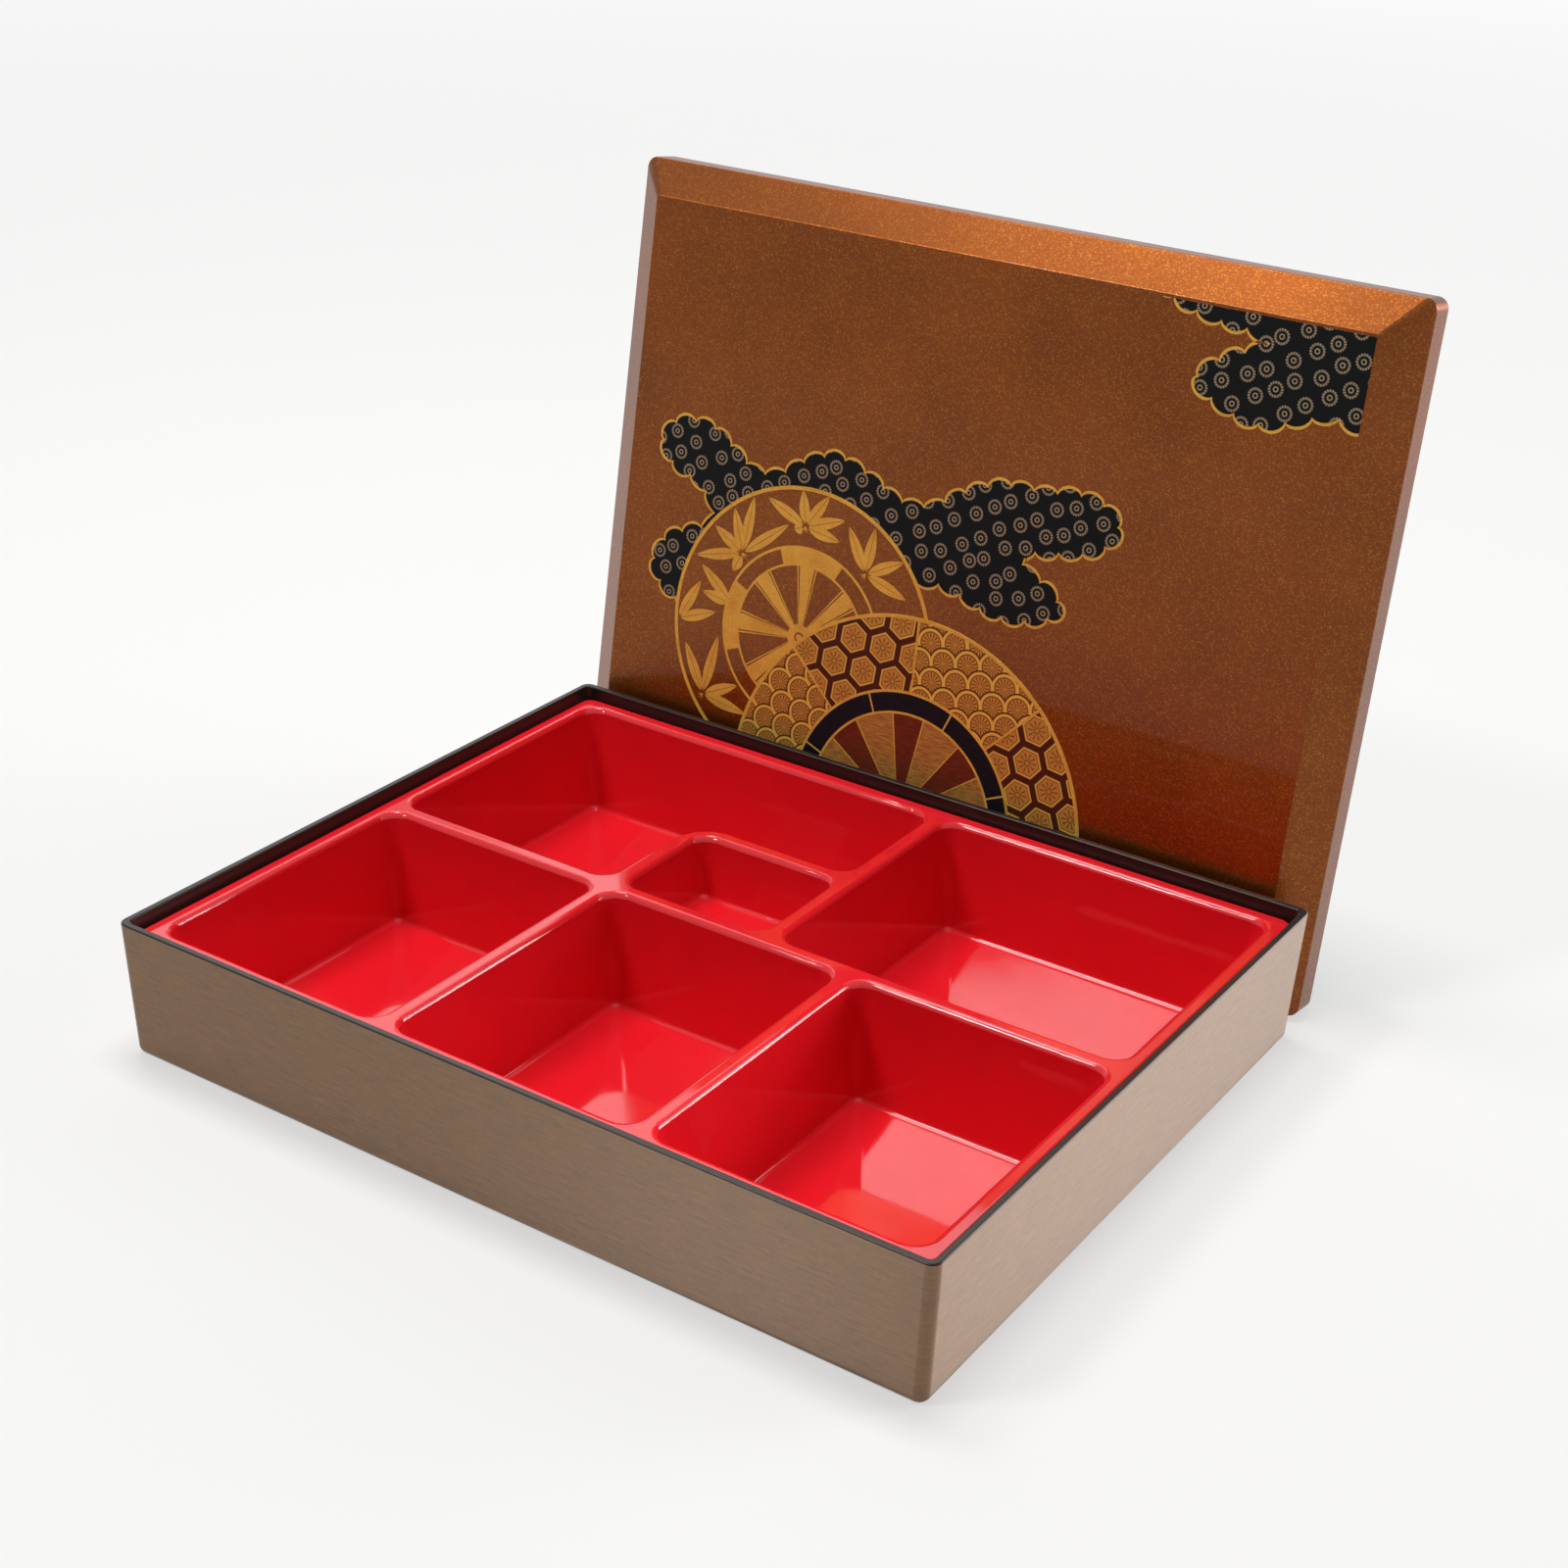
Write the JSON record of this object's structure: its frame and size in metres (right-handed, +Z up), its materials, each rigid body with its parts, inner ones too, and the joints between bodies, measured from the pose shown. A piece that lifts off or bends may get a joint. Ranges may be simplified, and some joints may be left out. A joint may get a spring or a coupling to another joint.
{
  "type": "bento box",
  "caption": "Shallow rectangular lacquer-look bento box with a lift-out compartment tray and a bevelled lid standing open behind it.",
  "frame": {"origin": "on the table, in the middle of the room that the box and the standing lid take together", "axes": "+Z up, +X to the right along the box's long side, +Y from the box's front to the lid behind it"},
  "size_m": [0.3058, 0.2974, 0.2418],
  "materials": {
    "box_body": "cloth-textured satin metallic brown lacquer over moulded plastic, black inside",
    "tray": "high gloss red",
    "lid": "high gloss clear coat over metallic brown with gold and black print"
  },
  "bodies": {
    "box": {"outer_box": "box_body"},
    "tray": {"compartment_tray": "tray"},
    "lid": {"lid": "lid"}
  },
  "joints": [
    {"name": "tray_lift", "type": "slide", "parent": "box", "child": "tray", "axis": [0, 0, 1], "range_m": [0, 0.1]},
    {"name": "lid_lift", "type": "slide", "parent": "box", "child": "lid", "axis": [0, 0, 1], "range_m": [0, 0.25]}
  ]
}
